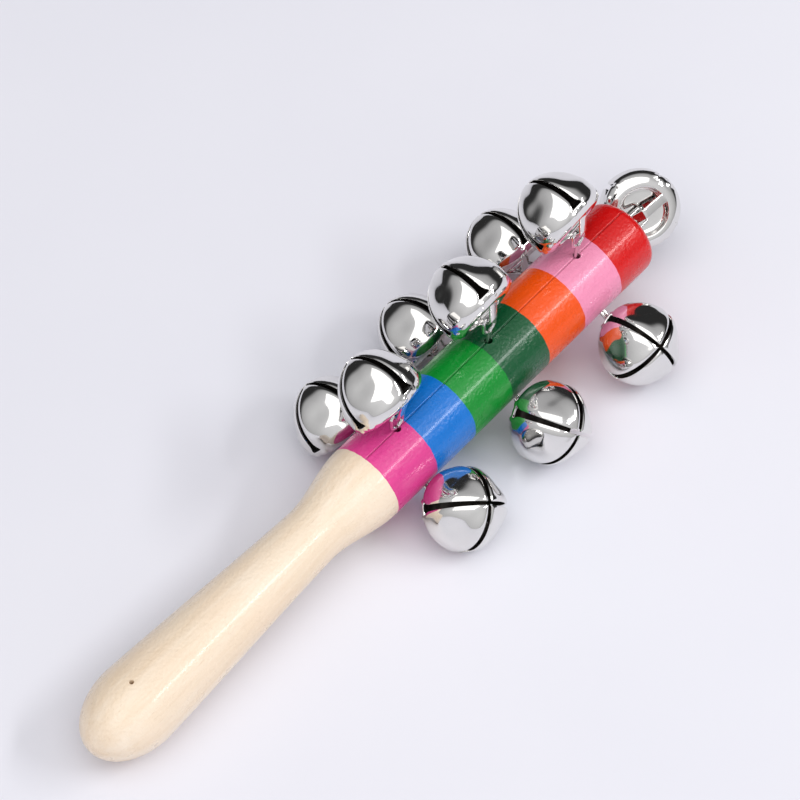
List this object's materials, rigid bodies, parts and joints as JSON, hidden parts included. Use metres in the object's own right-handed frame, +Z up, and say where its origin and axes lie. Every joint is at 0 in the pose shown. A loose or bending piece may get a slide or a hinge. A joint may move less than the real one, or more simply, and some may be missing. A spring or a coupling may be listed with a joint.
{
  "type": "jingle bell stick",
  "caption": "Hand-held jingle-bell stick: a turned wooden handle and a striped head, with loose slotted sleigh bells hung in split pins that ring when it is shaken.",
  "frame": {"origin": "on the surface it lies on, under the middle of the whole object's box", "axes": "+X along the stick from the handle's knob to the painted head (the stick slopes up 2.9 degrees that way), +Z up, +Y to the left when looking from the knob to the head"},
  "size_m": [0.2058, 0.0639, 0.05],
  "materials": {
    "painted_stick": "clear gloss lacquer over bare wood; the head carries gloss paint bands",
    "pin_steel": "bright wire",
    "bell_plate": "bright nickel plate",
    "pellet_steel": "plain"
  },
  "bodies": {
    "stick": {"stick": "painted_stick", "split_pin_top_1": "pin_steel", "split_pin_top_2": "pin_steel", "split_pin_top_3": "pin_steel", "split_pin_left_1": "pin_steel", "split_pin_left_2": "pin_steel", "split_pin_left_3": "pin_steel", "split_pin_right_1": "pin_steel", "split_pin_right_2": "pin_steel", "split_pin_right_3": "pin_steel", "split_pin_end": "pin_steel"},
    "bell_top_1": {"bell_top_1": "bell_plate"},
    "bell_top_2": {"bell_top_2": "bell_plate"},
    "bell_top_3": {"bell_top_3": "bell_plate"},
    "bell_left_1": {"bell_left_1": "bell_plate"},
    "bell_left_2": {"bell_left_2": "bell_plate"},
    "bell_left_3": {"bell_left_3": "bell_plate"},
    "bell_right_1": {"bell_right_1": "bell_plate"},
    "bell_right_2": {"bell_right_2": "bell_plate"},
    "bell_right_3": {"bell_right_3": "bell_plate"},
    "bell_end": {"bell_end": "bell_plate"},
    "pellet_top_1": {"pellet_top_1": "pellet_steel"},
    "pellet_top_2": {"pellet_top_2": "pellet_steel"},
    "pellet_top_3": {"pellet_top_3": "pellet_steel"},
    "pellet_left_1": {"pellet_left_1": "pellet_steel"},
    "pellet_left_2": {"pellet_left_2": "pellet_steel"},
    "pellet_left_3": {"pellet_left_3": "pellet_steel"},
    "pellet_right_1": {"pellet_right_1": "pellet_steel"},
    "pellet_right_2": {"pellet_right_2": "pellet_steel"},
    "pellet_right_3": {"pellet_right_3": "pellet_steel"},
    "pellet_end": {"pellet_end": "pellet_steel"}
  },
  "joints": [
    {"name": "swing_top_1", "type": "hinge", "parent": "stick", "child": "bell_top_1", "pos_m": [-0.00221, -0.00133, 0.03119], "axis": [0.9987, 0, 0.0506], "range_deg": [0, 116]},
    {"name": "swing_top_2", "type": "hinge", "parent": "stick", "child": "bell_top_2", "pos_m": [0.03, -0.00144, 0.03582], "axis": [0.9987, 0, 0.0506], "range_deg": [0, 144]},
    {"name": "swing_top_3", "type": "hinge", "parent": "stick", "child": "bell_top_3", "pos_m": [0.06233, -0.00145, 0.03796], "axis": [0.9987, 0, 0.0506], "range_deg": [0, 144]},
    {"name": "swing_left_1", "type": "hinge", "parent": "stick", "child": "bell_left_1", "pos_m": [-0.00095, 0.01452, 0.00641], "axis": [-0.9987, 0, -0.0506], "range_deg": [0, 128]},
    {"name": "swing_left_2", "type": "hinge", "parent": "stick", "child": "bell_left_2", "pos_m": [0.03144, 0.01567, 0.00743], "axis": [-0.9987, 0, -0.0506], "range_deg": [0, 110]},
    {"name": "swing_left_3", "type": "hinge", "parent": "stick", "child": "bell_left_3", "pos_m": [0.06381, 0.01638, 0.0087], "axis": [-0.9987, 0, -0.0506], "range_deg": [0, 108]},
    {"name": "swing_right_1", "type": "hinge", "parent": "stick", "child": "bell_right_1", "pos_m": [-0.00086, -0.01661, 0.00462], "axis": [0.9987, 0, 0.0506], "range_deg": [0, 162]},
    {"name": "swing_right_2", "type": "hinge", "parent": "stick", "child": "bell_right_2", "pos_m": [0.03145, -0.01504, 0.00724], "axis": [0.9987, 0, 0.0506], "range_deg": [0, 122]},
    {"name": "swing_right_3", "type": "hinge", "parent": "stick", "child": "bell_right_3", "pos_m": [0.06389, -0.01763, 0.00726], "axis": [0.9987, 0, 0.0506], "range_deg": [0, 152]},
    {"name": "swing_end", "type": "hinge", "parent": "stick", "child": "bell_end", "pos_m": [0.08992, -0.00075, 0.01914], "axis": [0.0358, -0.7071, -0.7062], "range_deg": [0, 124]},
    {"name": "rattle_top_1", "type": "slide", "parent": "bell_top_1", "child": "pellet_top_1", "axis": [-0.0419, -0.5592, 0.828], "range_m": [0, 0.0134]},
    {"name": "rattle_top_2", "type": "slide", "parent": "bell_top_2", "child": "pellet_top_2", "axis": [-0.0475, -0.342, 0.9385], "range_m": [0, 0.0134]},
    {"name": "rattle_top_3", "type": "slide", "parent": "bell_top_3", "child": "pellet_top_3", "axis": [-0.0475, -0.342, 0.9385], "range_m": [0, 0.0134]},
    {"name": "rattle_left_1", "type": "slide", "parent": "bell_left_1", "child": "pellet_left_1", "axis": [-0.0409, -0.5878, 0.808], "range_m": [0, 0.0134]},
    {"name": "rattle_left_2", "type": "slide", "parent": "bell_left_2", "child": "pellet_left_2", "axis": [-0.0451, -0.454, 0.8899], "range_m": [0, 0.0134]},
    {"name": "rattle_left_3", "type": "slide", "parent": "bell_left_3", "child": "pellet_left_3", "axis": [-0.0455, -0.4384, 0.8976], "range_m": [0, 0.0134]},
    {"name": "rattle_right_1", "type": "slide", "parent": "bell_right_1", "child": "pellet_right_1", "axis": [-0.0332, 0.7547, 0.6552], "range_m": [0, 0.0134]},
    {"name": "rattle_right_2", "type": "slide", "parent": "bell_right_2", "child": "pellet_right_2", "axis": [-0.0442, 0.4848, 0.8735], "range_m": [0, 0.0134]},
    {"name": "rattle_right_3", "type": "slide", "parent": "bell_right_3", "child": "pellet_right_3", "axis": [-0.0364, 0.6947, 0.7184], "range_m": [0, 0.0134]},
    {"name": "rattle_end", "type": "slide", "parent": "bell_end", "child": "pellet_end", "axis": [0, 0, 1], "range_m": [0, 0.0068]}
  ]
}
